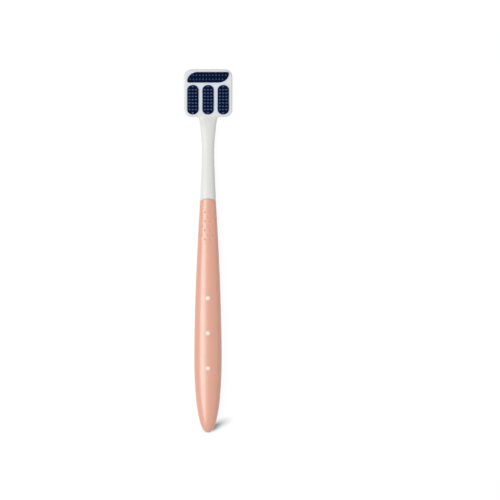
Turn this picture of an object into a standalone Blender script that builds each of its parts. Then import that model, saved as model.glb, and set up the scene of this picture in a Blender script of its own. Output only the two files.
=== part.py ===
"""A tongue scraper: a square head with four nubbed rubber pads, a slim neck and a moulded handle sleeve.

It lies on its back with the pads up. Metres, +Z up, +Y towards the head, X across, the middle of the
object's length at Y 0 and the head's flat back at Z 0.
"""

import math

import bmesh
import bpy
from mathutils import Matrix, Vector

# Head plate
HEAD_WIDTH = 0.0248
HEAD_LENGTH = 0.0244
HEAD_THICKNESS = 0.0040
HEAD_CORNER_RADIUS = 0.0039
HEAD_EDGE_RADIUS = 0.0008

# Neck, from the head plate's lower edge to the top of the sleeve
NECK_LENGTH = 0.0416
NECK_ROOT_WIDTH = 0.0096
NECK_WAIST_WIDTH = 0.0063
NECK_WAIST_THICKNESS = 0.0048
NECK_WAIST_HEIGHT = 0.0034
NECK_TOP_WIDTH = 0.0081
NECK_TOP_THICKNESS = 0.0064
NECK_TOP_HEIGHT = 0.0049
NECK_OVERLAP = 0.0030
ROOT_THICKNESS_SHARE = 0.88
WAIST_SHARE = 0.43
# How far along the flare from the waist up to the root, and how much of its growth is left there
FLARE_PLACE_SHARE = 0.30
FLARE_GROWTH_SHARE = 0.51

# Handle sleeve
SLEEVE_LENGTH = 0.1190
SLEEVE_WIDTH = 0.0140
SLEEVE_THICKNESS = 0.0108
SLEEVE_WALL = 0.0016
TAIL_TIP_HEIGHT = 0.0052
WIDEST_SHARE = 0.67
# Places from the sleeve's top to its widest, and the growth done there
SWELL_SHARES = ((0.32, 0.455), (0.63, 0.805))
TAIL_FLARE_POWER = 2.15
# How squarely the tail closes, seen from the front and from the side
TAIL_BLUNT_POWER = 2.4
TAIL_SIDE_BLUNT_POWER = 5.5
# How much of the rounding is done where the tail ends in its small flat tip
TAIL_CLOSE_SHARE = 0.999
SECTION_POWER = 2.3

# Where the neck's white meets the sleeve, an arch seen from the front
ARCH_RISE = 0.0012
ARCH_REACH = 0.0080

# White pegs on the tang, which show in the sleeve's front
PEG_COUNT = 3
PEG_PITCH = 0.0178
PEG_START = 0.0506
PEG_DIAMETER = 0.0024
PEG_PROUD = 0.0002
PEG_DOME = 0.0003

# Tang inside the sleeve, which runs on past its last peg
TANG_PAST_PEGS = 0.0116
TANG_END_CHAMFER = 0.0012

# Thumb grip
GRIP_START = 0.0069
GRIP_ROWS = 7
GRIP_ROW_PITCH = 0.0023
GRIP_COLUMN_PITCH = 0.0015
DIMPLE_DIAMETER = 0.0012
DIMPLE_DEPTH = 0.0003

# Rubber pads: one across the head's top, and lobes side by side below it
LOBE_NAMES = ("left_pad", "middle_pad", "right_pad")
PAD_TOP_BORDER = 0.0016
PAD_SIDE_BORDER = 0.0019
PAD_BOTTOM_BORDER = 0.00135
CROSS_PAD_SPACING = 0.0014
LOBE_SPACING = 0.0022
PAD_PROUD = 0.0008
PAD_EDGE_RADIUS = 0.0002
POCKET_DEPTH = 0.0010
CROSS_PAD_HEIGHT = 0.0052
CROSS_PAD_SWEEP = 0.0052
CROSS_PAD_TIP_RADIUS = 0.0007
LOBE_END_DEPTH = 0.0024

# Nubs, round on the cross pad and wider across the head on the lobes
NUB_BASE_DIAMETER = 0.0009
NUB_TIP_DIAMETER = 0.0006
NUB_TIP_CHAMFER = 0.00016
NUB_HEIGHT = 0.0009
NUB_ROOT = 0.0001
LOBE_NUB_STRETCH = 0.00045
NUB_COLUMN_PITCH = 0.00165
CROSS_NUB_ROW_PITCH = 0.0021
LOBE_NUB_ROW_PITCH = 0.00167

# Anchor posts that hold each pad through the plate
POST_DIAMETER = 0.0018
POST_HEAD_DIAMETER = 0.0030
POST_HEAD_DEPTH = 0.0007
POST_RECESS = 0.0002
CROSS_POST_SHARES = (-0.30, 0.0, 0.30)
LOBE_POST_SHARES = (-0.29, 0.29)

# Fit between pieces, and how far cutters and joined shapes run past each other
CLEARANCE = 0.0003
OVERRUN = 0.0005

# Points nearer than this share of the clearance are one point
SAME_POINT_SHARE = 0.01

# Fineness of the meshes, in counts
RING_POINTS = 28
NECK_STEPS = 13
SWELL_STEPS = 15
TAIL_STEPS = 11
TANG_STEPS = 14
CORNER_STEPS = 6
HEAD_RIM_STEPS = 3
PAD_RIM_STEPS = 2
TURN_STEPS = 12
PEG_DOME_STEPS = 3
NUB_SIDES = 8
NUB_CHAMFER_STEPS = 1
DIMPLE_SIDES = 8
DIMPLE_RINGS = 6

# Edges sharper than these are rounded, or shaded sharp
RIM_ANGLE = math.radians(50)
SHARP_ANGLE = math.radians(30)

OBJECT_LENGTH = HEAD_LENGTH + NECK_LENGTH + SLEEVE_LENGTH
HEAD_TOP_Y = OBJECT_LENGTH / 2
NECK_ROOT_Y = HEAD_TOP_Y - HEAD_LENGTH
SLEEVE_TOP = NECK_LENGTH
WIDEST = SLEEVE_TOP + WIDEST_SHARE * SLEEVE_LENGTH
TAIL_TIP = SLEEVE_TOP + SLEEVE_LENGTH
TANG_END = SLEEVE_TOP + PEG_START + (PEG_COUNT - 1) * PEG_PITCH + TANG_PAST_PEGS
PADS_WIDTH = HEAD_WIDTH - 2 * PAD_SIDE_BORDER
LOBE_COUNT = len(LOBE_NAMES)
LOBE_WIDTH = (PADS_WIDTH - (LOBE_COUNT - 1) * LOBE_SPACING) / LOBE_COUNT
LOBE_TOP_Y = HEAD_TOP_Y - PAD_TOP_BORDER - CROSS_PAD_HEIGHT - CROSS_PAD_SPACING
LOBE_LENGTH = LOBE_TOP_Y - (NECK_ROOT_Y + PAD_BOTTOM_BORDER)
PLATE_TOP = HEAD_THICKNESS
PAD_TOP = PLATE_TOP + PAD_PROUD
POCKET_FLOOR = PLATE_TOP - POCKET_DEPTH
PAD_FLOOR = POCKET_FLOOR + CLEARANCE
NUB_MARGIN = NUB_BASE_DIAMETER / 2 + PAD_EDGE_RADIUS
SAME_POINT = SAME_POINT_SHARE * CLEARANCE

# Colour and roughness of each plastic
WHITE = ((0.78, 0.79, 0.77, 1.0), 0.35)
PEACH = ((0.80, 0.42, 0.32, 1.0), 0.40)
NAVY = ((0.005, 0.012, 0.055, 1.0), 0.60)


def clear_scene():
    for obj in list(bpy.data.objects):
        bpy.data.objects.remove(obj, do_unlink=True)


def make_collection(name):
    collection = bpy.data.collections.new(name)
    bpy.context.scene.collection.children.link(collection)
    return collection


def make_material(name, look):
    colour, roughness = look
    material = bpy.data.materials.new(name)
    material.use_nodes = True
    shader = material.node_tree.nodes["Principled BSDF"]
    shader.inputs["Base Color"].default_value = colour
    shader.inputs["Roughness"].default_value = roughness
    shader.inputs["Metallic"].default_value = 0.0
    return material


def object_from(bm, name, collection):
    mesh = bpy.data.meshes.new(name)
    bm.to_mesh(mesh)
    bm.free()
    obj = bpy.data.objects.new(name, mesh)
    collection.objects.link(obj)
    return obj


def as_helper(obj):
    obj.hide_render = True
    obj.display_type = "WIRE"
    return obj


def finish_piece(obj, material):
    obj.data.materials.append(material)
    obj.data.shade_smooth()
    obj.data.set_sharp_from_angle(angle=SHARP_ANGLE)


def combine(obj, operation, operands):
    """A Boolean with every object in a collection of helpers."""
    modifier = obj.modifiers.new(operation.title() + " " + operands.name, "BOOLEAN")
    modifier.operation = operation
    modifier.operand_type = "COLLECTION"
    modifier.collection = operands
    modifier.solver = "EXACT"


def round_edges(obj, radius, steps):
    modifier = obj.modifiers.new("Rounded rim", "BEVEL")
    modifier.width = radius
    modifier.segments = steps
    modifier.limit_method = "ANGLE"
    modifier.angle_limit = RIM_ANGLE


def smooth_value(stations, place):
    """The value at a place on a smooth curve through (place, value) stations, flat at the last one."""
    rises = [(v1 - v0) / (p1 - p0) for (p0, v0), (p1, v1) in zip(stations, stations[1:])]
    middle = [2 * a * b / (a + b) if a * b > 0 else 0 for a, b in zip(rises, rises[1:])]
    slopes = [rises[0], *middle, 0]
    index = max(i for i in range(len(rises)) if i == 0 or stations[i][0] <= place)
    (start, value), (end, next_value) = stations[index], stations[index + 1]
    span = end - start
    t = (place - start) / span
    return (
        value * (2 * t**3 - 3 * t**2 + 1)
        + next_value * (3 * t**2 - 2 * t**3)
        + span * slopes[index] * (t**3 - 2 * t**2 + t)
        + span * slopes[index + 1] * (t**3 - t**2)
    )


def form_stations(root, waist, top, widest):
    """Stations of one measure of the neck and the handle, by distance below the head plate."""
    waist_place = WAIST_SHARE * NECK_LENGTH
    flare = (FLARE_PLACE_SHARE * waist_place, waist + FLARE_GROWTH_SHARE * (root - waist))
    swell = [
        (SLEEVE_TOP + place * (WIDEST - SLEEVE_TOP), top + growth * (widest - top))
        for place, growth in SWELL_SHARES
    ]
    return [(0, root), flare, (waist_place, waist), (SLEEVE_TOP, top), *swell, (WIDEST, widest)]


WIDTHS = form_stations(NECK_ROOT_WIDTH, NECK_WAIST_WIDTH, NECK_TOP_WIDTH, SLEEVE_WIDTH)
THICKNESSES = form_stations(
    ROOT_THICKNESS_SHARE * HEAD_THICKNESS, NECK_WAIST_THICKNESS, NECK_TOP_THICKNESS, SLEEVE_THICKNESS
)
HEIGHTS = form_stations(HEAD_THICKNESS / 2, NECK_WAIST_HEIGHT, NECK_TOP_HEIGHT, SLEEVE_THICKNESS / 2)


def section(distance):
    """Half width, half thickness and centre height of the neck and handle, below the head plate."""
    place = min(max(distance, 0), WIDEST)
    half_width = smooth_value(WIDTHS, place) / 2
    half_thickness = smooth_value(THICKNESSES, place) / 2
    height = smooth_value(HEIGHTS, place)
    tail = TAIL_CLOSE_SHARE * max(distance - WIDEST, 0) / (TAIL_TIP - WIDEST)
    fullness = 1 - tail**TAIL_FLARE_POWER
    height += (TAIL_TIP_HEIGHT - height) * tail**2
    half_width *= fullness ** (1 / TAIL_BLUNT_POWER)
    half_thickness *= fullness ** (1 / TAIL_SIDE_BLUNT_POWER)
    return half_width, half_thickness, height


def arch(x, distance):
    """How far the arch of the sleeve's top edge carries a point towards the tail."""
    fade = max(1 - abs(distance - SLEEVE_TOP) / ARCH_REACH, 0)
    return ARCH_RISE * (x / (NECK_TOP_WIDTH / 2)) ** 2 * fade**2


def rounded(value):
    return math.copysign(abs(value) ** (2 / SECTION_POWER), value)


def ring(distance, inset=0.0):
    """One rounded section of the form, a little inside it by the inset."""
    half_width, half_thickness, height = section(distance)
    points = []
    for i in range(RING_POINTS):
        angle = 2 * math.pi * i / RING_POINTS
        x = (half_width - inset) * rounded(math.cos(angle))
        z = height + (half_thickness - inset) * rounded(math.sin(angle))
        points.append(Vector((x, NECK_ROOT_Y - distance - arch(x, distance), z)))
    return points


def front_height(x, distance):
    """Height of the form's front surface over a point."""
    half_width, half_thickness, height = section(distance)
    side = min(abs(x) / half_width, 1)
    return height + half_thickness * (1 - side**SECTION_POWER) ** (1 / SECTION_POWER)


def spread(start, end, steps):
    return [start + (end - start) * i / steps for i in range(steps + 1)]


def tail_distances():
    """From the widest place to the tail's tip, closer together where the tail rounds off."""
    angles = spread(0, math.pi / 2, TAIL_STEPS)
    return [WIDEST + (TAIL_TIP - WIDEST) * math.sin(angle) for angle in angles[1:]]


def loft(rings):
    """A closed body through rings of equally many points, with a flat face over each end."""
    bm = bmesh.new()
    loops = [[bm.verts.new(point) for point in points] for points in rings]
    for near, far in zip(loops, loops[1:]):
        for i in range(len(near)):
            bm.faces.new((near[i - 1], near[i], far[i], far[i - 1]))
    bm.faces.new(loops[0])
    bm.faces.new(loops[-1])
    bmesh.ops.recalc_face_normals(bm, faces=bm.faces)
    return bm


def tang_rings(inset, end):
    """From the tang's chamfered end up to the shoulder under the neck."""
    straight_end = end - TANG_END_CHAMFER
    distances = spread(straight_end, SLEEVE_TOP, TANG_STEPS)
    return [ring(end, inset + TANG_END_CHAMFER)] + [ring(distance, inset) for distance in distances[:-1]]


def outline(width, length, radii):
    """A rectangle with elliptical corners, round from +X +Y against the clock. Radii are (x, y) pairs."""
    signs = ((1, 1), (-1, 1), (-1, -1), (1, -1))
    points = []
    for quarter, ((sx, sy), (rx, ry)) in enumerate(zip(signs, radii)):
        centre = Vector((sx * (width / 2 - rx), sy * (length / 2 - ry)))
        for angle in spread(quarter * math.pi / 2, (quarter + 1) * math.pi / 2, CORNER_STEPS):
            point = centre + Vector((rx * math.cos(angle), ry * math.sin(angle)))
            if not points or (point - points[-1]).length > SAME_POINT:
                points.append(point)
    if (points[0] - points[-1]).length < SAME_POINT:
        points.pop()
    return points


def slab(points, place, low, high):
    """The outline at a place, raised from low to high."""
    bm = bmesh.new()
    floor = bm.faces.new([bm.verts.new((place[0] + p.x, place[1] + p.y, low)) for p in points])
    raised = bmesh.ops.extrude_face_region(bm, geom=[floor])
    top = [v for v in raised["geom"] if isinstance(v, bmesh.types.BMVert)]
    bmesh.ops.translate(bm, verts=top, vec=(0, 0, high - low))
    bmesh.ops.recalc_face_normals(bm, faces=bm.faces)
    return bm


def turned(name, profile, place, collection):
    """A helper turned about Z from a (radius, height) profile that runs down its outer side."""
    bm = bmesh.new()
    verts = [bm.verts.new((radius, 0, height)) for radius, height in profile]
    for upper, lower in zip(verts, verts[1:]):
        bm.edges.new((upper, lower))
    obj = as_helper(object_from(bm, name, collection))
    obj.location = place
    screw = obj.modifiers.new("Turn", "SCREW")
    screw.steps = TURN_STEPS
    screw.render_steps = TURN_STEPS
    screw.use_merge_vertices = True
    screw.merge_threshold = SAME_POINT
    return obj


class Pad:
    """One rubber pad: its outline, its place on the plate, and the places of its nubs and posts."""

    def __init__(self, name, place, size, radii, row_pitch, nub_stretch, post_places):
        self.name = name
        self.place = place
        self.size = size
        self.radii = radii
        self.row_pitch = row_pitch
        self.nub_stretch = nub_stretch
        self.post_places = post_places

    def outline(self, grow=0.0):
        width, length = (measure + 2 * grow for measure in self.size)
        radii = [(max(rx + grow, 0), max(ry + grow, 0)) for rx, ry in self.radii]
        return outline(width, length, radii)

    def nub_places(self):
        """A square grid of nubs, centred on the pad, wherever a nub clears the pad's edge."""
        columns = centred(self.size[0], NUB_COLUMN_PITCH)
        rows = centred(self.size[1], self.row_pitch)
        inside = self.outline(-NUB_MARGIN)
        return [Vector((x, y)) for y in rows for x in columns if encloses(inside, Vector((x, y)))]


def centred(span, pitch):
    """Places at a pitch, centred on zero, as many as leave the nub margin at both ends."""
    count = int((span - 2 * NUB_MARGIN) / pitch) + 1
    return [(i - (count - 1) / 2) * pitch for i in range(count)]


def encloses(points, spot):
    """Whether a convex outline that runs against the clock holds a spot."""
    for start, end in zip(points, points[1:] + points[:1]):
        if (end - start).cross(spot - start) < 0:
            return False
    return True


def make_pads():
    cross_y = HEAD_TOP_Y - PAD_TOP_BORDER - CROSS_PAD_HEIGHT / 2
    lobe_y = LOBE_TOP_Y - LOBE_LENGTH / 2
    lobe_pitch = LOBE_WIDTH + LOBE_SPACING
    sweep = (CROSS_PAD_SWEEP, CROSS_PAD_HEIGHT - CROSS_PAD_TIP_RADIUS)
    tip = (CROSS_PAD_TIP_RADIUS, CROSS_PAD_TIP_RADIUS)
    pads = [
        Pad(
            "cross_pad",
            Vector((0, cross_y)),
            (PADS_WIDTH, CROSS_PAD_HEIGHT),
            (tip, sweep, tip, sweep),
            CROSS_NUB_ROW_PITCH,
            0,
            [Vector((share * PADS_WIDTH, 0)) for share in CROSS_POST_SHARES],
        )
    ]
    for column, name in enumerate(LOBE_NAMES):
        pads.append(
            Pad(
                name,
                Vector(((column - (LOBE_COUNT - 1) / 2) * lobe_pitch, lobe_y)),
                (LOBE_WIDTH, LOBE_LENGTH),
                [(LOBE_WIDTH / 2, LOBE_END_DEPTH)] * 4,
                LOBE_NUB_ROW_PITCH,
                LOBE_NUB_STRETCH,
                [Vector((0, share * LOBE_LENGTH)) for share in LOBE_POST_SHARES],
            )
        )
    return pads


def post_profile(grow, top, bottom):
    """Outer side of an anchor post, or of the hole round it when it is grown by the clearance."""
    shoulder = POST_RECESS + POST_HEAD_DEPTH + grow
    shaft = POST_DIAMETER / 2 + grow
    head = POST_HEAD_DIAMETER / 2 + grow
    return [(0, top), (shaft, top), (shaft, shoulder), (head, shoulder), (head, bottom), (0, bottom)]


def build_pad(pad, parts, material):
    obj = object_from(slab(pad.outline(), pad.place, PAD_FLOOR, PAD_TOP), pad.name, parts)
    round_edges(obj, PAD_EDGE_RADIUS, PAD_RIM_STEPS)
    additions = make_collection(pad.name + " additions")
    profile = post_profile(0, PAD_FLOOR + OVERRUN, POST_RECESS)
    for number, spot in enumerate(pad.post_places, 1):
        turned(f"{pad.name} post {number}", profile, (*(pad.place + spot), 0), additions)
    bm = bmesh.new()
    for spot in pad.nub_places():
        cone = bmesh.ops.create_cone(
            bm,
            cap_ends=True,
            segments=NUB_SIDES,
            radius1=NUB_BASE_DIAMETER / 2,
            radius2=NUB_TIP_DIAMETER / 2,
            depth=NUB_HEIGHT + NUB_ROOT,
        )
        turn = Matrix.Rotation(math.pi / NUB_SIDES, 3, "Z")
        bmesh.ops.rotate(bm, verts=cone["verts"], matrix=turn)
        for vert in cone["verts"]:
            vert.co.x += math.copysign(pad.nub_stretch / 2, vert.co.x)
        middle = PAD_TOP + NUB_HEIGHT / 2 - NUB_ROOT / 2
        bmesh.ops.translate(bm, verts=cone["verts"], vec=(*(pad.place + spot), middle))
    tips = [edge for edge in bm.edges if min(vert.co.z for vert in edge.verts) > PAD_TOP]
    bmesh.ops.bevel(bm, geom=tips, offset=NUB_TIP_CHAMFER, segments=NUB_CHAMFER_STEPS, affect="EDGES")
    as_helper(object_from(bm, pad.name + " nubs", additions))
    combine(obj, "UNION", additions)
    finish_piece(obj, material)


def cut_pockets(core, pads):
    cutters = make_collection("Head cutters")
    profile = post_profile(CLEARANCE, POCKET_FLOOR + OVERRUN, -OVERRUN)
    for pad in pads:
        pocket = slab(pad.outline(CLEARANCE), pad.place, POCKET_FLOOR, PLATE_TOP + OVERRUN)
        as_helper(object_from(pocket, pad.name + " pocket", cutters))
        for number, spot in enumerate(pad.post_places, 1):
            turned(f"{pad.name} hole {number}", profile, (*(pad.place + spot), 0), cutters)
    combine(core, "DIFFERENCE", cutters)


def peg_places():
    return [SLEEVE_TOP + PEG_START + i * PEG_PITCH for i in range(PEG_COUNT)]


def peg_profile(top, bottom):
    """Outer side of a peg with a low dome on its end."""
    radius = PEG_DIAMETER / 2
    dome = [
        (radius * math.sin(angle), top - PEG_DOME * (1 - math.cos(angle)))
        for angle in spread(0, math.pi / 2, PEG_DOME_STEPS)
    ]
    return [*dome, (radius, bottom), (0, bottom)]


def build_core(parts, pads, material):
    """Head plate, neck, tang and pegs, one white moulding."""
    shoulder = SLEEVE_TOP - CLEARANCE / 2
    neck = [ring(distance) for distance in spread(shoulder, -NECK_OVERLAP, NECK_STEPS)]
    shoulder_ring = ring(shoulder, SLEEVE_WALL)
    obj = object_from(
        loft(tang_rings(SLEEVE_WALL, TANG_END) + [shoulder_ring] + neck), "core", parts
    )
    additions = make_collection("Core additions")
    corner = (HEAD_CORNER_RADIUS, HEAD_CORNER_RADIUS)
    plate_outline = outline(HEAD_WIDTH, HEAD_LENGTH, [corner] * 4)
    plate_place = (0, HEAD_TOP_Y - HEAD_LENGTH / 2)
    plate = as_helper(
        object_from(slab(plate_outline, plate_place, 0, HEAD_THICKNESS), "Head plate", additions)
    )
    round_edges(plate, HEAD_EDGE_RADIUS, HEAD_RIM_STEPS)
    for number, distance in enumerate(peg_places(), 1):
        height = section(distance)[2]
        profile = peg_profile(front_height(0, distance) + PEG_PROUD - height, 0)
        turned(f"Peg {number}", profile, (0, NECK_ROOT_Y - distance, height), additions)
    combine(obj, "UNION", additions)
    cut_pockets(obj, pads)
    finish_piece(obj, material)


def build_sleeve(parts, material):
    """The hollow handle, open where the neck enters it."""
    top = SLEEVE_TOP + CLEARANCE / 2
    bore = SLEEVE_WALL - CLEARANCE
    outer = [ring(distance) for distance in spread(top, WIDEST, SWELL_STEPS) + tail_distances()]
    cavity = tang_rings(bore, TANG_END + CLEARANCE)
    obj = object_from(loft(cavity + [ring(top, bore)] + outer), "handle_sleeve", parts)
    cutters = make_collection("Sleeve cutters")
    window = PEG_DIAMETER / 2 + CLEARANCE
    for number, distance in enumerate(peg_places(), 1):
        height = section(distance)[2]
        reach = front_height(0, distance) + OVERRUN - height
        profile = [(0, reach), (window, reach), (window, 0), (0, 0)]
        turned(f"Peg window {number}", profile, (0, NECK_ROOT_Y - distance, height), cutters)
    bm = bmesh.new()
    dimple_radius = (DIMPLE_DIAMETER**2 / 4 + DIMPLE_DEPTH**2) / (2 * DIMPLE_DEPTH)
    for x, distance in grip_places():
        ball = bmesh.ops.create_uvsphere(
            bm, u_segments=DIMPLE_SIDES, v_segments=DIMPLE_RINGS, radius=dimple_radius
        )
        height = front_height(x, distance) + dimple_radius - DIMPLE_DEPTH
        bmesh.ops.translate(bm, verts=ball["verts"], vec=(x, NECK_ROOT_Y - distance, height))
    as_helper(object_from(bm, "Grip dimples", cutters))
    combine(obj, "DIFFERENCE", cutters)
    finish_piece(obj, material)


def grip_places():
    """Rows of two and of three dimples in turn, centred on the handle."""
    places = []
    for row in range(GRIP_ROWS):
        columns = (-1, 1) if row % 2 == 0 else (-2, 0, 2)
        distance = SLEEVE_TOP + GRIP_START + row * GRIP_ROW_PITCH
        places += [(column * GRIP_COLUMN_PITCH, distance) for column in columns]
    return places


def main():
    clear_scene()
    parts = make_collection("Tongue scraper")
    pads = make_pads()
    build_core(parts, pads, make_material("White plastic", WHITE))
    build_sleeve(parts, make_material("Peach plastic", PEACH))
    for pad in pads:
        build_pad(pad, parts, make_material("Navy rubber " + pad.name, NAVY))


main()
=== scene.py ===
"""The looks of a tongue scraper: fine meshes for its six pieces, their plastics, a floor and soft light.

Metres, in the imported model's frame: +Y towards the head, +Z the way the pads face, the floor at Z 0.
"""

import math

import bmesh
import bpy
from mathutils import Matrix, Vector


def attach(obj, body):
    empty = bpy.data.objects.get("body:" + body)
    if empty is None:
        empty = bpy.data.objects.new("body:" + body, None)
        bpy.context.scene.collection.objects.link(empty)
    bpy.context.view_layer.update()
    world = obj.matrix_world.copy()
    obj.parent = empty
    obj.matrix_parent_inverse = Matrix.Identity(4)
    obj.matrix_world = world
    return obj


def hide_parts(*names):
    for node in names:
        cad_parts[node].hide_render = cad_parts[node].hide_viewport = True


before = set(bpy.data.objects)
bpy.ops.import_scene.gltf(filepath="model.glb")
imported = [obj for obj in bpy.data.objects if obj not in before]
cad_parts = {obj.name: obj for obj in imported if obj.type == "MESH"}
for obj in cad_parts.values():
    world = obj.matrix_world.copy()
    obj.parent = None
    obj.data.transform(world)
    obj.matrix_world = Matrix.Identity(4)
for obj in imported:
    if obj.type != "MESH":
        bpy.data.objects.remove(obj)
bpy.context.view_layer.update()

# Head plate
HEAD_WIDTH = 0.0248
HEAD_LENGTH = 0.0244
HEAD_THICKNESS = 0.0040
HEAD_CORNER_RADIUS = 0.0039
HEAD_EDGE_RADIUS = 0.0008

# Neck, from the head plate's lower edge to the top of the sleeve
NECK_LENGTH = 0.0416
NECK_ROOT_WIDTH = 0.0096
NECK_WAIST_WIDTH = 0.0063
NECK_WAIST_THICKNESS = 0.0048
NECK_WAIST_HEIGHT = 0.0034
NECK_TOP_WIDTH = 0.0081
NECK_TOP_THICKNESS = 0.0064
NECK_TOP_HEIGHT = 0.0049
NECK_OVERLAP = 0.0030
NECK_FILLET = 0.0009
ROOT_THICKNESS_SHARE = 0.88
WAIST_SHARE = 0.43
# How far along the flare from the waist up to the root, and how much of its growth is left there
FLARE_PLACE_SHARE = 0.30
FLARE_GROWTH_SHARE = 0.51

# Handle sleeve
SLEEVE_LENGTH = 0.1190
SLEEVE_WIDTH = 0.0140
SLEEVE_THICKNESS = 0.0108
SLEEVE_WALL = 0.0016
SLEEVE_LIP_RADIUS = 0.00015
TAIL_TIP_HEIGHT = 0.0052
WIDEST_SHARE = 0.67
# Places from the sleeve's top to its widest, and the growth done there
SWELL_SHARES = ((0.32, 0.455), (0.63, 0.805))
TAIL_FLARE_POWER = 2.15
# How squarely the tail closes, seen from the front and from the side
TAIL_BLUNT_POWER = 2.4
TAIL_SIDE_BLUNT_POWER = 5.5
TAIL_CLOSE_SHARE = 0.99999
SECTION_POWER = 2.3

# Where the neck's white meets the sleeve, an arch seen from the front
ARCH_RISE = 0.0012
ARCH_REACH = 0.0080

# White pegs on the tang, which show in the sleeve's front
PEG_COUNT = 3
PEG_PITCH = 0.0178
PEG_START = 0.0506
PEG_DIAMETER = 0.0024
PEG_PROUD = 0.0002
PEG_DOME = 0.0002
PEG_EDGE_RADIUS = 0.0001

# Tang inside the sleeve
TANG_PAST_PEGS = 0.0116
TANG_END_CHAMFER = 0.0012

# Thumb grip
GRIP_START = 0.0069
GRIP_ROWS = 7
GRIP_ROW_PITCH = 0.0023
GRIP_COLUMN_PITCH = 0.0015
DIMPLE_DIAMETER = 0.0011
DIMPLE_DEPTH = 0.00025

# Rubber pads: one across the head's top, and lobes side by side below it
LOBE_NAMES = ("left_pad", "middle_pad", "right_pad")
PAD_TOP_BORDER = 0.0016
PAD_SIDE_BORDER = 0.0019
PAD_BOTTOM_BORDER = 0.00135
CROSS_PAD_SPACING = 0.0014
LOBE_SPACING = 0.0022
PAD_PROUD = 0.0008
PAD_EDGE_RADIUS = 0.00018
POCKET_DEPTH = 0.0010
POCKET_LIP_RADIUS = 0.00012
CROSS_PAD_HEIGHT = 0.0052
CROSS_PAD_SWEEP = 0.0052
CROSS_PAD_TIP_RADIUS = 0.0007
LOBE_END_DEPTH = 0.0024

# Nubs, round on the cross pad and wider across the head on the lobes
NUB_GRID_MARGIN = 0.0007
NUB_BASE_DIAMETER = 0.0009
NUB_TIP_DIAMETER = 0.00064
NUB_HEIGHT = 0.0009
NUB_DOME_HEIGHT = 0.0002
NUB_FOOT_RADIUS = 0.00007
# Heights over the pad's top where the nubs' paler tips set in and are full: painted highlight, and rubbed
# wear
NUB_HIGHLIGHT_AND_WEAR_START = 0.00015
NUB_HIGHLIGHT_AND_WEAR_END = 0.0005
LOBE_NUB_STRETCH = 0.00045
NUB_COLUMN_PITCH = 0.00165
CROSS_NUB_ROW_PITCH = 0.0021
LOBE_NUB_ROW_PITCH = 0.00167

# Anchor posts that hold each pad through the plate
POST_DIAMETER = 0.0018
POST_HEAD_DIAMETER = 0.0030
POST_HEAD_DEPTH = 0.0007
POST_HEAD_EDGE_RADIUS = 0.00015
POST_RECESS = 0.0002
CROSS_POST_SHARES = (-0.30, 0.0, 0.30)
LOBE_POST_SHARES = (-0.29, 0.29)

# Hairline between moulded pieces, and how far cutters run past the surface that they cut
HAIRLINE = 0.00005
OVERRUN = 0.0005

# Fineness of the meshes, in counts
RING_POINTS = 128
NECK_STEPS = 84
SWELL_STEPS = 150
TAIL_STEPS = 60
TANG_STEPS = 60
LIP_STEPS = 4
CORNER_STEPS = 24
RIM_STEPS = 8
TURN_SIDES = 48
PEG_DOME_STEPS = 8
NUB_SIDES = 20
NUB_FOOT_STEPS = 3
NUB_DOME_STEPS = 5
DIMPLE_SIDES = 28
DIMPLE_RINGS = 18
SHARP_ANGLE = math.radians(35)

OBJECT_LENGTH = HEAD_LENGTH + NECK_LENGTH + SLEEVE_LENGTH
HEAD_TOP_Y = OBJECT_LENGTH / 2
NECK_ROOT_Y = HEAD_TOP_Y - HEAD_LENGTH
SLEEVE_TOP = NECK_LENGTH
WIDEST = SLEEVE_TOP + WIDEST_SHARE * SLEEVE_LENGTH
TAIL_TIP = SLEEVE_TOP + SLEEVE_LENGTH
TANG_END = SLEEVE_TOP + PEG_START + (PEG_COUNT - 1) * PEG_PITCH + TANG_PAST_PEGS
PADS_WIDTH = HEAD_WIDTH - 2 * PAD_SIDE_BORDER
LOBE_COUNT = len(LOBE_NAMES)
LOBE_WIDTH = (PADS_WIDTH - (LOBE_COUNT - 1) * LOBE_SPACING) / LOBE_COUNT
LOBE_TOP_Y = HEAD_TOP_Y - PAD_TOP_BORDER - CROSS_PAD_HEIGHT - CROSS_PAD_SPACING
LOBE_LENGTH = LOBE_TOP_Y - (NECK_ROOT_Y + PAD_BOTTOM_BORDER)
PLATE_TOP = HEAD_THICKNESS
PAD_TOP = PLATE_TOP + PAD_PROUD
POCKET_FLOOR = PLATE_TOP - POCKET_DEPTH
PAD_FLOOR = POCKET_FLOOR + HAIRLINE
SAME_POINT = HAIRLINE / 20

# Zones of the plastics' colours: the places along Y where each sets in and where it is full. The one
# between the pads is an ellipse as large as the plate, with the shares of the way in from its rim.
# The tail's tip takes painted shade, greyer over the last of its length
TIP_SHADE_LENGTH = 0.0030
TIP_SHADE_END = 0.0002
TAIL_TIP_Y = HEAD_TOP_Y - OBJECT_LENGTH
# Where the pegs' painted light sits: warmer and brighter, as if lit by the peach around them
PEG_LIGHT_Y = NECK_ROOT_Y - SLEEVE_TOP - PEG_START / 2
HEAD_ZONE = (NECK_ROOT_Y - NECK_FILLET, NECK_ROOT_Y + PAD_BOTTOM_BORDER)
PADS_ZONE_PLACE = (0, HEAD_TOP_Y - HEAD_LENGTH / 2, 0)
PADS_ZONE_SIZE = (HEAD_WIDTH / 2, HEAD_LENGTH / 2, 1)
PADS_ZONE_SHARES = (0.06, 0.32)
PEG_LIGHT_ZONE = (PEG_LIGHT_Y, PEG_LIGHT_Y - PEG_DIAMETER)
# Painted shade at the tail's tip
TIP_SHADE_ZONE = (TAIL_TIP_Y + TIP_SHADE_LENGTH, TAIL_TIP_Y + TIP_SHADE_END)

# Noise in the materials: the range of it that is used, its details, and the broad kind's scale as a share
# of the fine one's
NOISE_START = 0.3
NOISE_END = 0.7
FINE_NOISE_DETAIL = 3
BROAD_NOISE_DETAIL = 2
BROAD_NOISE_SHARE = 0.08

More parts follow.
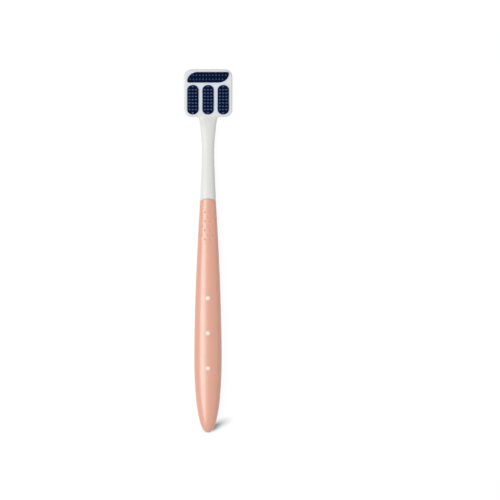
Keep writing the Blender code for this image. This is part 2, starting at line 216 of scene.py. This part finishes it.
# Camera: straight down on the front, with the photograph's frame
PHOTO_PIXELS = 500
PIXEL_SIZE = 0.000509
OBJECT_MIDDLE_COLUMN = 208.0
OBJECT_MIDDLE_ROW = 250.7
CAMERA_DISTANCE = 1.6
SENSOR_WIDTH = 36.0
FOCUS_HEIGHT = 0.005

# Floor: how bright the camera sees it where nothing shades it, and the share of that which shade can take
FLOOR_SIZE = 4.0
FLOOR_COLOUR = (0.85, 0.85, 0.85, 1.0)
FLOOR_LIT = 0.80
FLOOR_WHITE = 1.02
SHADE_SHARE = 0.10
# The contact shade beside the tail's tip: a long ellipse that runs out from under it, and its dark core.
# Each has a place, a size, a turn, a depth and a power of its fall-off.
CONTACT_SHADES = (
    ((0.00425, -0.0889, 0), (0.0115, 0.0037, 1), math.radians(20.4), 0.70, 1.87),
    ((0.0028, -0.0907, 0), (0.0051, 0.0022, 1), math.radians(25.6), 0.74, 1.45),
)

# Light: the world's strength on the object, and two softboxes. Each has a name, power, width, length and
# distance, and its tilt from overhead to the left and to the tail's side.
AMBIENT = 0.462
SOFTBOXES = (
    ("Key softbox", 5.08, 0.572, 0.612, 0.9, math.radians(29), math.radians(4)),
    ("Fill softbox", 0.253, 0.69, 0.5, 0.9, math.radians(-50.6), math.radians(4)),
)


def make_camera():
    data = bpy.data.cameras.new("Camera")
    data.sensor_width = SENSOR_WIDTH
    data.lens = SENSOR_WIDTH * (CAMERA_DISTANCE - FOCUS_HEIGHT) / (PHOTO_PIXELS * PIXEL_SIZE)
    camera = bpy.data.objects.new("Camera", data)
    middle = PHOTO_PIXELS / 2
    camera.location = (
        (middle - OBJECT_MIDDLE_COLUMN) * PIXEL_SIZE,
        (OBJECT_MIDDLE_ROW - middle) * PIXEL_SIZE,
        CAMERA_DISTANCE,
    )
    bpy.context.scene.collection.objects.link(camera)
    bpy.context.scene.camera = camera


def smooth_value(stations, place):
    """The value at a place on a smooth curve through (place, value) stations, flat at the last one."""
    rises = [(v1 - v0) / (p1 - p0) for (p0, v0), (p1, v1) in zip(stations, stations[1:])]
    middle = [2 * a * b / (a + b) if a * b > 0 else 0 for a, b in zip(rises, rises[1:])]
    slopes = [rises[0], *middle, 0]
    index = max(i for i in range(len(rises)) if i == 0 or stations[i][0] <= place)
    (start, value), (end, next_value) = stations[index], stations[index + 1]
    span = end - start
    t = (place - start) / span
    return (
        value * (2 * t**3 - 3 * t**2 + 1)
        + next_value * (3 * t**2 - 2 * t**3)
        + span * slopes[index] * (t**3 - 2 * t**2 + t)
        + span * slopes[index + 1] * (t**3 - t**2)
    )


def form_stations(root, waist, top, widest):
    """Stations of one measure of the neck and the handle, by distance below the head plate."""
    waist_place = WAIST_SHARE * NECK_LENGTH
    flare = (FLARE_PLACE_SHARE * waist_place, waist + FLARE_GROWTH_SHARE * (root - waist))
    swell = [
        (SLEEVE_TOP + place * (WIDEST - SLEEVE_TOP), top + growth * (widest - top))
        for place, growth in SWELL_SHARES
    ]
    return [(0, root), flare, (waist_place, waist), (SLEEVE_TOP, top), *swell, (WIDEST, widest)]


WIDTHS = form_stations(NECK_ROOT_WIDTH, NECK_WAIST_WIDTH, NECK_TOP_WIDTH, SLEEVE_WIDTH)
THICKNESSES = form_stations(
    ROOT_THICKNESS_SHARE * HEAD_THICKNESS, NECK_WAIST_THICKNESS, NECK_TOP_THICKNESS, SLEEVE_THICKNESS
)
HEIGHTS = form_stations(HEAD_THICKNESS / 2, NECK_WAIST_HEIGHT, NECK_TOP_HEIGHT, SLEEVE_THICKNESS / 2)


def section(distance):
    """Half width, half thickness and centre height of the neck and handle, below the head plate."""
    place = min(max(distance, 0), WIDEST)
    half_width = smooth_value(WIDTHS, place) / 2
    half_thickness = smooth_value(THICKNESSES, place) / 2
    height = smooth_value(HEIGHTS, place)
    tail = TAIL_CLOSE_SHARE * max(distance - WIDEST, 0) / (TAIL_TIP - WIDEST)
    fullness = 1 - tail**TAIL_FLARE_POWER
    height += (TAIL_TIP_HEIGHT - height) * tail**2
    fillet = 1 - min(max(distance, 0) / NECK_FILLET, 1)
    half_width += NECK_FILLET * (1 - math.sqrt(1 - fillet**2))
    half_width *= fullness ** (1 / TAIL_BLUNT_POWER)
    half_thickness *= fullness ** (1 / TAIL_SIDE_BLUNT_POWER)
    return half_width, half_thickness, height


def arch(x, distance):
    """How far the arch of the sleeve's top edge carries a point towards the tail."""
    fade = max(1 - abs(distance - SLEEVE_TOP) / ARCH_REACH, 0)
    return ARCH_RISE * (x / (NECK_TOP_WIDTH / 2)) ** 2 * fade**2


def rounded(value):
    return math.copysign(abs(value) ** (2 / SECTION_POWER), value)


def ring(distance, inset=0.0):
    """One rounded section of the form, a little inside it by the inset."""
    half_width, half_thickness, height = section(distance)
    points = []
    for i in range(RING_POINTS):
        angle = 2 * math.pi * i / RING_POINTS
        x = max(half_width - inset, 0) * rounded(math.cos(angle))
        z = height + max(half_thickness - inset, 0) * rounded(math.sin(angle))
        points.append(Vector((x, NECK_ROOT_Y - distance - arch(x, distance), z)))
    return points


def front_height(x, distance):
    """Height of the form's front surface over a point."""
    half_width, half_thickness, height = section(distance)
    side = min(abs(x) / half_width, 1)
    return height + half_thickness * (1 - side**SECTION_POWER) ** (1 / SECTION_POWER)


def front_normal(x, distance):
    """The way that the form's front surface faces across the handle."""
    rise = front_height(x + HAIRLINE, distance) - front_height(x - HAIRLINE, distance)
    return Vector((-rise, 0, 2 * HAIRLINE)).normalized()


def spread(start, end, steps):
    return [start + (end - start) * i / steps for i in range(steps + 1)]


def quarter_turn(steps):
    return spread(0, math.pi / 2, steps)


def tail_distances():
    """From the widest place to the tail's tip, closer together where the tail rounds off."""
    return [WIDEST + (TAIL_TIP - WIDEST) * math.sin(angle) for angle in quarter_turn(TAIL_STEPS)[1:]]


def tang_rings(inset, end):
    """From the tang's chamfered end up to the shoulder under the neck."""
    straight_end = end - TANG_END_CHAMFER
    distances = spread(straight_end, SLEEVE_TOP, TANG_STEPS)
    return [ring(end, inset + TANG_END_CHAMFER)] + [ring(distance, inset) for distance in distances[:-1]]


def outline(width, length, radii):
    """A rectangle with elliptical corners, round from +X +Y against the clock. Radii are (x, y) pairs."""
    signs = ((1, 1), (-1, 1), (-1, -1), (1, -1))
    points = []
    for quarter, ((sx, sy), (rx, ry)) in enumerate(zip(signs, radii)):
        centre = Vector((sx * (width / 2 - rx), sy * (length / 2 - ry)))
        for angle in spread(quarter * math.pi / 2, (quarter + 1) * math.pi / 2, CORNER_STEPS):
            point = centre + Vector((rx * math.cos(angle), ry * math.sin(angle)))
            if not points or (point - points[-1]).length > SAME_POINT:
                points.append(point)
    if (points[0] - points[-1]).length < SAME_POINT:
        points.pop()
    return points


def raised(points, place, height):
    return [Vector((place[0] + p.x, place[1] + p.y, height)) for p in points]


def circle(place, radius, height, sides, stretch=0.0):
    """A circle, or with a stretch the outline of a slot that is so much wider along X."""
    points = []
    for i in range(sides):
        angle = 2 * math.pi * (i + 0.5) / sides
        x = radius * math.cos(angle)
        points.append(Vector((x + math.copysign(stretch / 2, x), radius * math.sin(angle))))
    return raised(points, place, height)


def new_loop(bm, points):
    return [bm.verts.new(point) for point in points]


def bridge(bm, loops):
    """Quads between each two neighbouring loops of equally many vertices."""
    for near, far in zip(loops, loops[1:]):
        for i in range(len(near)):
            bm.faces.new((near[i - 1], near[i], far[i], far[i - 1]))


def loft(rings):
    """A closed body through rings of equally many points, with a flat face over each end."""
    bm = bmesh.new()
    loops = [new_loop(bm, points) for points in rings]
    bridge(bm, loops)
    bm.faces.new(loops[0])
    bm.faces.new(loops[-1])
    bmesh.ops.recalc_face_normals(bm, faces=bm.faces)
    return bm


def loop_edges(bm, loop):
    return [bm.edges.get((loop[i - 1], loop[i])) for i in range(len(loop))]


def fill_with_studs(bm, rim, places, profile, sides, stretch=0.0):
    """Fills a flat rim and raises a stud at each place. The (radius, height) profile runs to the tip."""
    edges = loop_edges(bm, rim)
    for place in places:
        loops = [new_loop(bm, circle(place, r, height, sides, stretch)) for r, height in profile]
        bridge(bm, loops)
        bm.faces.new(loops[-1])
        edges += loop_edges(bm, loops[0])
    bmesh.ops.triangle_fill(bm, use_beauty=True, edges=edges)


def object_from(bm, name):
    mesh = bpy.data.meshes.new(name)
    bm.to_mesh(mesh)
    bm.free()
    obj = bpy.data.objects.new(name, mesh)
    bpy.context.scene.collection.objects.link(obj)
    return obj


def combine(obj, operation, helpers):
    """Applies a Boolean with each helper in turn, and removes the helpers."""
    for helper in helpers:
        modifier = obj.modifiers.new(operation.title(), "BOOLEAN")
        modifier.operation = operation
        modifier.object = helper
        modifier.solver = "EXACT"
    graph = bpy.context.evaluated_depsgraph_get()
    mesh = bpy.data.meshes.new_from_object(obj.evaluated_get(graph))
    obj.modifiers.clear()
    old = obj.data
    obj.data = mesh
    bpy.data.meshes.remove(old)
    for helper in helpers:
        bpy.data.objects.remove(helper, do_unlink=True)


def smooth(obj):
    obj.data.shade_smooth()
    obj.data.set_sharp_from_angle(angle=SHARP_ANGLE)
    weighted = obj.modifiers.new("Flat faces stay flat", "WEIGHTED_NORMAL")
    weighted.keep_sharp = True


class Pad:
    """One rubber pad: its outline, its place on the plate, and the places of its nubs and posts."""

    def __init__(self, name, place, size, radii, row_pitch, nub_stretch, post_places):
        self.name = name
        self.place = place
        self.size = size
        self.radii = radii
        self.row_pitch = row_pitch
        self.nub_stretch = nub_stretch
        self.post_places = [place + spot for spot in post_places]

    def outline(self, grow=0.0):
        width, length = (measure + 2 * grow for measure in self.size)
        radii = [(max(rx + grow, 0), max(ry + grow, 0)) for rx, ry in self.radii]
        return outline(width, length, radii)

    def nub_places(self):
        """A square grid of nubs, centred on the pad, wherever a nub clears the pad's edge."""
        columns = centred(self.size[0], NUB_COLUMN_PITCH)
        rows = centred(self.size[1], self.row_pitch)
        inside = self.outline(-NUB_GRID_MARGIN)
        spots = [Vector((x, y)) for y in rows for x in columns]
        return [self.place + spot for spot in spots if encloses(inside, spot)]


def centred(span, pitch):
    """Places at a pitch, centred on zero, as many as leave the margin at both ends."""
    count = int((span - 2 * NUB_GRID_MARGIN) / pitch) + 1
    return [(i - (count - 1) / 2) * pitch for i in range(count)]


def encloses(points, spot):
    """Whether a convex outline that runs against the clock holds a spot."""
    for start, end in zip(points, points[1:] + points[:1]):
        if (end - start).cross(spot - start) < 0:
            return False
    return True


def make_pads():
    cross_y = HEAD_TOP_Y - PAD_TOP_BORDER - CROSS_PAD_HEIGHT / 2
    lobe_y = LOBE_TOP_Y - LOBE_LENGTH / 2
    lobe_pitch = LOBE_WIDTH + LOBE_SPACING
    sweep = (CROSS_PAD_SWEEP, CROSS_PAD_HEIGHT - CROSS_PAD_TIP_RADIUS)
    tip = (CROSS_PAD_TIP_RADIUS, CROSS_PAD_TIP_RADIUS)
    pads = [
        Pad(
            "cross_pad",
            Vector((0, cross_y)),
            (PADS_WIDTH, CROSS_PAD_HEIGHT),
            (tip, sweep, tip, sweep),
            CROSS_NUB_ROW_PITCH,
            0,
            [Vector((share * PADS_WIDTH, 0)) for share in CROSS_POST_SHARES],
        )
    ]
    for column, name in enumerate(LOBE_NAMES):
        pads.append(
            Pad(
                name,
                Vector(((column - (LOBE_COUNT - 1) / 2) * lobe_pitch, lobe_y)),
                (LOBE_WIDTH, LOBE_LENGTH),
                [(LOBE_WIDTH / 2, LOBE_END_DEPTH)] * 4,
                LOBE_NUB_ROW_PITCH,
                LOBE_NUB_STRETCH,
                [Vector((0, share * LOBE_LENGTH)) for share in LOBE_POST_SHARES],
            )
        )
    return pads


def nub_profile():
    """A nub from the fillet at its foot, up its tapered side and over its domed tip."""
    base = NUB_BASE_DIAMETER / 2
    tip = NUB_TIP_DIAMETER / 2
    shoulder = PAD_TOP + NUB_HEIGHT - NUB_DOME_HEIGHT
    foot = [
        (base + NUB_FOOT_RADIUS * (1 - math.sin(a)), PAD_TOP + NUB_FOOT_RADIUS * (1 - math.cos(a)))
        for a in quarter_turn(NUB_FOOT_STEPS)
    ]
    dome = [
        (tip * math.cos(a), shoulder + NUB_DOME_HEIGHT * math.sin(a))
        for a in quarter_turn(NUB_DOME_STEPS)[:-1]
    ]
    return foot + dome


def post_profile():
    """An anchor post from the pad's underside down to its wide head, which has rounded edges."""
    shaft = POST_DIAMETER / 2
    head = POST_HEAD_DIAMETER / 2
    shoulder = POST_RECESS + POST_HEAD_DEPTH
    radius = POST_HEAD_EDGE_RADIUS
    edge = [
        (head - radius * (1 - math.cos(a)), POST_RECESS + radius * (1 - math.sin(a)))
        for a in quarter_turn(RIM_STEPS)
    ]
    return [(shaft, PAD_FLOOR), (shaft, shoulder), (head, shoulder), *edge]


def build_pad(pad):
    """Rounded edge, straight side, a top with nubs and an underside with posts, in one closed mesh."""
    bm = bmesh.new()
    rim = [
        (-PAD_EDGE_RADIUS * (1 - math.sin(a)), PAD_TOP - PAD_EDGE_RADIUS * (1 - math.cos(a)))
        for a in quarter_turn(RIM_STEPS)
    ]
    sides = rim + [(0, PAD_FLOOR)]
    loops = [new_loop(bm, raised(pad.outline(grow), pad.place, height)) for grow, height in sides]
    bridge(bm, loops)
    fill_with_studs(bm, loops[0], pad.nub_places(), nub_profile(), NUB_SIDES, pad.nub_stretch)
    fill_with_studs(bm, loops[-1], pad.post_places, post_profile(), TURN_SIDES)
    bmesh.ops.recalc_face_normals(bm, faces=bm.faces)
    return object_from(bm, pad.name + "_rubber")


def pocket_cutter(pad):
    """The pad's outline and a hairline, flared at the mouth into a small rounded lip."""
    lip = POCKET_LIP_RADIUS
    mouth = [
        (HAIRLINE + lip * (1 - math.cos(a)), PLATE_TOP - lip * (1 - math.sin(a)))
        for a in quarter_turn(LIP_STEPS)
    ]
    sides = [(HAIRLINE, POCKET_FLOOR), *mouth, (HAIRLINE + lip, PLATE_TOP + OVERRUN)]
    rings = [raised(pad.outline(grow), pad.place, height) for grow, height in sides]
    return object_from(loft(rings), pad.name + "_pocket")


def turned(profile, place, name):
    """A helper body turned about Z from a (radius, height) profile, with flat ends."""
    return object_from(loft([circle(place, r, z, TURN_SIDES) for r, z in profile]), name)


def post_hole_cutter(place, name):
    shaft = POST_DIAMETER / 2 + HAIRLINE
    head = POST_HEAD_DIAMETER / 2 + HAIRLINE
    shoulder = POST_RECESS + POST_HEAD_DEPTH + HAIRLINE
    profile = [(shaft, POCKET_FLOOR + OVERRUN), (shaft, shoulder), (head, shoulder), (head, -OVERRUN)]
    return turned(profile, place, name)


def peg_places():
    return [SLEEVE_TOP + PEG_START + i * PEG_PITCH for i in range(PEG_COUNT)]


def build_plate():
    """The head plate, with the same rounding on its front and back edges."""
    corner = (HEAD_CORNER_RADIUS, HEAD_CORNER_RADIUS)
    place = (0, HEAD_TOP_Y - HEAD_LENGTH / 2)
    edge = [
        (HEAD_EDGE_RADIUS * (1 - math.sin(a)), HEAD_EDGE_RADIUS * (1 - math.cos(a)))
        for a in quarter_turn(RIM_STEPS)
    ]
    levels = edge + [(inset, HEAD_THICKNESS - rise) for inset, rise in reversed(edge)]
    rings = []
    for inset, height in levels:
        radii = [tuple(radius - inset for radius in corner)] * 4
        points = outline(HEAD_WIDTH - 2 * inset, HEAD_LENGTH - 2 * inset, radii)
        rings.append(raised(points, place, height))
    return object_from(loft(rings), "Plate")


def build_peg(distance, name):
    height = section(distance)[2]
    top = front_height(0, distance) + PEG_PROUD
    radius = PEG_DIAMETER / 2
    crown = radius - PEG_EDGE_RADIUS
    shoulder = top - PEG_DOME + PEG_EDGE_RADIUS
    edge = [
        (crown + PEG_EDGE_RADIUS * math.cos(a), shoulder - PEG_EDGE_RADIUS * (1 - math.sin(a)))
        for a in quarter_turn(LIP_STEPS)
    ]
    dome = [
        (crown * math.cos(a), shoulder + (top - shoulder) * math.sin(a) ** 2)
        for a in quarter_turn(PEG_DOME_STEPS)[1:-1]
    ]
    return turned([(radius, height), *edge, *dome], (0, NECK_ROOT_Y - distance), name)


def build_core(pads):
    """Head plate, neck, tang and pegs, one white moulding."""
    shoulder = SLEEVE_TOP - HAIRLINE / 2
    lip = [
        ring(shoulder - SLEEVE_LIP_RADIUS * (1 - math.cos(a)), SLEEVE_LIP_RADIUS * (1 - math.sin(a)))
        for a in quarter_turn(LIP_STEPS)
    ]
    fillet = [ring(NECK_FILLET * (1 - math.sin(a))) for a in quarter_turn(RIM_STEPS)]
    neck = [ring(distance) for distance in spread(shoulder - SLEEVE_LIP_RADIUS, NECK_FILLET, NECK_STEPS)]
    tang = tang_rings(SLEEVE_WALL, TANG_END) + [ring(shoulder, SLEEVE_WALL)]
    end = [ring(-NECK_OVERLAP)]
    core = object_from(loft(tang + lip + neck[1:] + fillet[1:] + end), "core_moulding")
    pegs = [build_peg(distance, f"Peg_{i}") for i, distance in enumerate(peg_places())]
    combine(core, "UNION", [build_plate(), *pegs])
    cutters = [pocket_cutter(pad) for pad in pads]
    for pad in pads:
        cutters += [post_hole_cutter(place, pad.name + "_hole") for place in pad.post_places]
    combine(core, "DIFFERENCE", cutters)
    return core


def grip_places():
    """Rows of two and of three dimples in turn, centred on the handle."""
    places = []
    for row in range(GRIP_ROWS):
        columns = (-1, 1) if row % 2 == 0 else (-2, 0, 2)
        distance = SLEEVE_TOP + GRIP_START + row * GRIP_ROW_PITCH
        places += [(column * GRIP_COLUMN_PITCH, distance) for column in columns]
    return places


def build_dimples():
    bm = bmesh.new()
    radius = (DIMPLE_DIAMETER**2 / 4 + DIMPLE_DEPTH**2) / (2 * DIMPLE_DEPTH)
    half_step = Matrix.Rotation(math.pi / DIMPLE_SIDES, 4, "Z")
    for x, distance in grip_places():
        surface = Vector((x, NECK_ROOT_Y - distance, front_height(x, distance)))
        centre = surface + (radius - DIMPLE_DEPTH) * front_normal(x, distance)
        bmesh.ops.create_uvsphere(
            bm,
            u_segments=DIMPLE_SIDES,
            v_segments=DIMPLE_RINGS,
            radius=radius,
            matrix=Matrix.Translation(centre) @ half_step,
        )
    return object_from(bm, "Dimples")


def build_sleeve():
    """The hollow handle, open where the neck enters it."""
    top = SLEEVE_TOP + HAIRLINE / 2
    bore = SLEEVE_WALL - HAIRLINE
    lip = [
        ring(top + SLEEVE_LIP_RADIUS * (1 - math.cos(a)), SLEEVE_LIP_RADIUS * (1 - math.sin(a)))
        for a in quarter_turn(LIP_STEPS)
    ]
    swell = [ring(distance) for distance in spread(top + SLEEVE_LIP_RADIUS, WIDEST, SWELL_STEPS)]
    tail = [ring(distance) for distance in tail_distances()]
    cavity = tang_rings(bore, TANG_END + HAIRLINE)
    rings = cavity + [ring(top, bore)] + lip + swell[1:] + tail
    sleeve = object_from(loft(rings), "handle_sleeve_moulding")
    cutters = [build_dimples()]
    window = PEG_DIAMETER / 2 + HAIRLINE
    for i, distance in enumerate(peg_places()):
        reach = front_height(0, distance) + OVERRUN
        profile = [(window, section(distance)[2]), (window, reach)]
        cutters.append(turned(profile, (0, NECK_ROOT_Y - distance), f"Window_{i}"))
    combine(sleeve, "DIFFERENCE", cutters)
    return sleeve


class Nodes:
    """A short way to write a material's nodes and links."""

    def __init__(self, tree):
        self.tree = tree
        tree.nodes.clear()

    def add(self, kind, inputs=(), **settings):
        """A node with some settings, and inputs that are values or other nodes' outputs."""
        node = self.tree.nodes.new(kind)
        for name, value in settings.items():
            setattr(node, name, value)
        for name, value in dict(inputs).items():
            if isinstance(value, bpy.types.NodeSocket):
                self.tree.links.new(value, node.inputs[name])
            else:
                node.inputs[name].default_value = value
        return node


def new_material(name):
    material = bpy.data.materials.new(name)
    material.use_nodes = True
    return material, Nodes(material.node_tree)


def noise(nodes, place, scale, detail):
    inputs = {"Vector": place, "Scale": scale, "Detail": detail}
    return nodes.add("ShaderNodeTexNoise", inputs).outputs["Fac"]


def ranged(nodes, value, low, high, start=NOISE_START, end=NOISE_END):
    """The value's run from start to end, turned into one from low to high."""
    settings = {"Value": value, "From Min": start, "From Max": end, "To Min": low, "To Max": high}
    return nodes.add("ShaderNodeMapRange", settings).outputs["Result"]


def mixed(nodes, share, first, second):
    mix = nodes.add("ShaderNodeMix", {"Factor": share, "A": first, "B": second}, data_type="RGBA")
    return mix.outputs["Result"]


def ellipse(nodes, place, size, turn=0.0):
    """1 at the middle of an ellipse that lies flat, and 0 at its rim and beyond."""
    ground = nodes.add("ShaderNodeTexCoord").outputs["Object"]
    inputs = {"Vector": ground, "Location": place, "Rotation": (0, 0, turn), "Scale": size}
    mapped = nodes.add("ShaderNodeMapping", inputs, vector_type="TEXTURE").outputs["Vector"]
    return nodes.add("ShaderNodeTexGradient", {"Vector": mapped}, gradient_type="SPHERICAL").outputs["Fac"]


def contact_shade(nodes, place, size, turn, depth, fall_off):
    """How dark the floor is beside the tail's tip, from 0 to the depth."""
    near = ellipse(nodes, place, size, turn)
    softer = nodes.add("ShaderNodeMath", {0: near, 1: fall_off}, operation="POWER")
    return ranged(nodes, softer.outputs["Value"], 0, depth, 0, 1)


def along_handle(nodes):
    ground = nodes.add("ShaderNodeTexCoord").outputs["Object"]
    return nodes.add("ShaderNodeSeparateXYZ", {"Vector": ground}).outputs["Y"]


def between_pads(nodes):
    return ellipse(nodes, PADS_ZONE_PLACE, PADS_ZONE_SIZE)


def finish_plastic(nodes, place, fine, colour, roughness, grain, bump, settings):
    """The shader of a moulded plastic, with a fine relief and a roughness that varies more broadly."""
    broad = noise(nodes, place, BROAD_NOISE_SHARE / grain, BROAD_NOISE_DETAIL)
    relief = nodes.add("ShaderNodeBump", {"Height": fine, "Strength": 1.0, "Distance": bump})
    shader = nodes.add(
        "ShaderNodeBsdfPrincipled",
        {
            "Base Color": colour,
            "Roughness": ranged(nodes, broad, *roughness),
            "Normal": relief.outputs["Normal"],
            **settings,
        },
    )
    nodes.add("ShaderNodeOutputMaterial", {"Surface": shader.outputs["BSDF"]})


def make_plastic(name, colours, roughness, grain, bump, settings, zones):
    """A moulded plastic whose colour varies finely with noise of the grain's size.

    Each zone is a colour, among them painted light and painted shade, with the share of it, a function
    that gives the zone's place, and the values of that where the colour sets in and where it is full.
    """
    material, nodes = new_material(name)
    place = nodes.add("ShaderNodeTexCoord").outputs["Object"]
    fine = noise(nodes, place, 1 / grain, FINE_NOISE_DETAIL)
    colour = mixed(nodes, ranged(nodes, fine, 0, 1), *colours)
    for zone_colour, share, where, start, full in zones:
        colour = mixed(nodes, ranged(nodes, where(nodes), 0, share, start, full), colour, zone_colour)
    finish_plastic(nodes, place, fine, colour, roughness, grain, bump, settings)
    return material


def make_rubber(name, ground, tip, roughness, grain, bump, settings):
    """A rubber that is paler towards the tips of its nubs: a painted highlight where they catch the light,
    and rubbed wear.
    """
    material, nodes = new_material(name)
    place = nodes.add("ShaderNodeTexCoord").outputs["Object"]
    fine = noise(nodes, place, 1 / grain, FINE_NOISE_DETAIL)
    height = nodes.add("ShaderNodeSeparateXYZ", {"Vector": place}).outputs["Z"]
    # Paler nub tops: painted highlight where they catch the light, and rubbed wear
    highlight_and_wear = ranged(nodes, height, 0, 1, PAD_TOP + NUB_HIGHLIGHT_AND_WEAR_START, PAD_TOP + NUB_HIGHLIGHT_AND_WEAR_END)
    colour = mixed(nodes, highlight_and_wear, ground, tip)
    finish_plastic(nodes, place, fine, colour, roughness, grain, bump, settings)
    return material


def see_white(nodes):
    """1 where a camera, glossy or transmission ray sees the surface, else 0."""
    path = nodes.add("ShaderNodeLightPath").outputs
    either = nodes.add("ShaderNodeMath", operation="MAXIMUM")
    nodes.tree.links.new(path["Is Camera Ray"], either.inputs[0])
    nodes.tree.links.new(path["Is Glossy Ray"], either.inputs[1])
    any_of = nodes.add("ShaderNodeMath", operation="MAXIMUM")
    nodes.tree.links.new(either.outputs["Value"], any_of.inputs[0])
    nodes.tree.links.new(path["Is Transmission Ray"], any_of.inputs[1])
    return any_of.outputs["Value"]


def make_floor():
    """A pale floor that reads as white, keeps a faint shadow, and is darker beside the tail's tip."""
    bm = bmesh.new()
    bmesh.ops.create_grid(bm, x_segments=1, y_segments=1, size=FLOOR_SIZE / 2)
    floor = object_from(bm, "Floor")
    material, nodes = new_material("Pale floor")
    matte = nodes.add("ShaderNodeBsdfDiffuse", {"Color": FLOOR_COLOUR}).outputs["BSDF"]
    glow_level = FLOOR_WHITE - SHADE_SHARE * FLOOR_LIT
    glow = nodes.add("ShaderNodeEmission", {"Color": (1, 1, 1, 1), "Strength": glow_level})
    black = nodes.add("ShaderNodeBsdfDiffuse", {"Color": (0, 0, 0, 1)}).outputs["BSDF"]
    shade = nodes.add("ShaderNodeMixShader", {0: SHADE_SHARE, 1: black, 2: matte})
    seen = nodes.add("ShaderNodeAddShader", {0: glow.outputs["Emission"], 1: shade.outputs["Shader"]})
    for contact in CONTACT_SHADES:
        darkness = contact_shade(nodes, *contact)
        seen = nodes.add("ShaderNodeMixShader", {0: darkness, 1: seen.outputs["Shader"], 2: black})
    surface = nodes.add("ShaderNodeMixShader", {0: see_white(nodes), 1: matte, 2: seen.outputs["Shader"]})
    nodes.add("ShaderNodeOutputMaterial", {"Surface": surface.outputs["Shader"]})
    floor.data.materials.append(material)


def make_world():
    world = bpy.data.worlds.new("Studio")
    world.use_nodes = True
    bpy.context.scene.world = world
    nodes = Nodes(world.node_tree)
    strength = ranged(nodes, see_white(nodes), AMBIENT, 1, 0, 1)
    background = nodes.add("ShaderNodeBackground", {"Color": (1, 1, 1, 1), "Strength": strength})
    nodes.add("ShaderNodeOutputWorld", {"Surface": background.outputs["Background"]})


def make_softbox(name, power, width, length, distance, left, down):
    """A softbox that faces the object, tilted from overhead to the left and to the tail's side.

    A tilt below zero is one to the right.
    """
    data = bpy.data.lights.new(name, "AREA")
    data.shape = "RECTANGLE"
    data.size = width
    data.size_y = length
    data.energy = power
    lamp = bpy.data.objects.new(name, data)
    bpy.context.scene.collection.objects.link(lamp)
    away = Vector((-math.tan(left), -math.tan(down), 1)).normalized()
    lamp.location = distance * away
    lamp.rotation_euler = away.to_track_quat("Z", "Y").to_euler()
    lamp.visible_camera = False


def dress(obj, node, material):
    obj.data.materials.clear()
    obj.data.materials.append(material)
    smooth(obj)
    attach(obj, "root")
    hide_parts(node)


def make_white():
    """White plastic, cooler at the head beside the navy, and warmer and brighter at the pegs in the peach,
    a painted warm light from it.
    """
    return make_plastic(
        "White plastic",
        colours=((0.747, 0.755, 0.736, 1), (0.793, 0.801, 0.781, 1)),
        roughness=(0.283, 0.363),
        grain=0.0004,
        bump=0.000004,
        settings={
            "Specular IOR Level": 0.454,
            "Subsurface Weight": 0.15,
            "Subsurface Radius": (1.0, 1.0, 0.9),
            "Subsurface Scale": 0.001,
        },
        zones=[
            ((0.765, 0.79, 0.82, 1), 0.7, along_handle, *HEAD_ZONE),
            ((0.765, 0.83, 0.93, 1), 0.9, between_pads, *PADS_ZONE_SHARES),
            # Painted light: the pegs warmer and brighter, as if lit by the peach around them
            ((0.94, 0.79, 0.675, 1), 1, along_handle, *PEG_LIGHT_ZONE),
        ],
    )


def make_peach():
    """Peach plastic with a faint pearl, and painted shade that greys the tail's tip, which stands in its
    own shade.
    """
    return make_plastic(
        "Peach pearl plastic",
        colours=((0.746, 0.352, 0.246, 1), (0.792, 0.374, 0.262, 1)),
        roughness=(0.29, 0.35),
        grain=0.00012,
        bump=0.000004,
        settings={
            "Specular IOR Level": 0.88,
            "Specular Tint": (0.80, 1, 1, 1),
            "IOR": 1.56,
            "Subsurface Weight": 0.2,
            "Subsurface Radius": (1.0, 0.4, 0.25),
            "Subsurface Scale": 0.0015,
        },
        # Painted shade: the tail's tip greyer, as it stands in its own shade
        zones=[((0.50, 0.36, 0.30, 1), 0.5, along_handle, *TIP_SHADE_ZONE)],
    )


def make_navy():
    return make_rubber(
        "Navy rubber",
        ground=(0.0010, 0.0038, 0.030, 1),
        # The paler tip colour is a painted highlight on the nub tops, and rubbed wear
        tip=(0.060, 0.098, 0.190, 1),
        roughness=(0.42, 0.52),
        grain=0.0002,
        bump=0.000006,
        settings={"Specular IOR Level": 0.08, "Specular Tint": (0.25, 0.55, 1, 1)},
    )


def main():
    bpy.context.scene.view_settings.view_transform = "Standard"
    make_camera()
    make_world()
    make_floor()
    for softbox in SOFTBOXES:
        make_softbox(*softbox)
    pads = make_pads()
    navy = make_navy()
    dress(build_core(pads), "core", make_white())
    dress(build_sleeve(), "handle_sleeve", make_peach())
    for pad in pads:
        dress(build_pad(pad), pad.name, navy)


main()
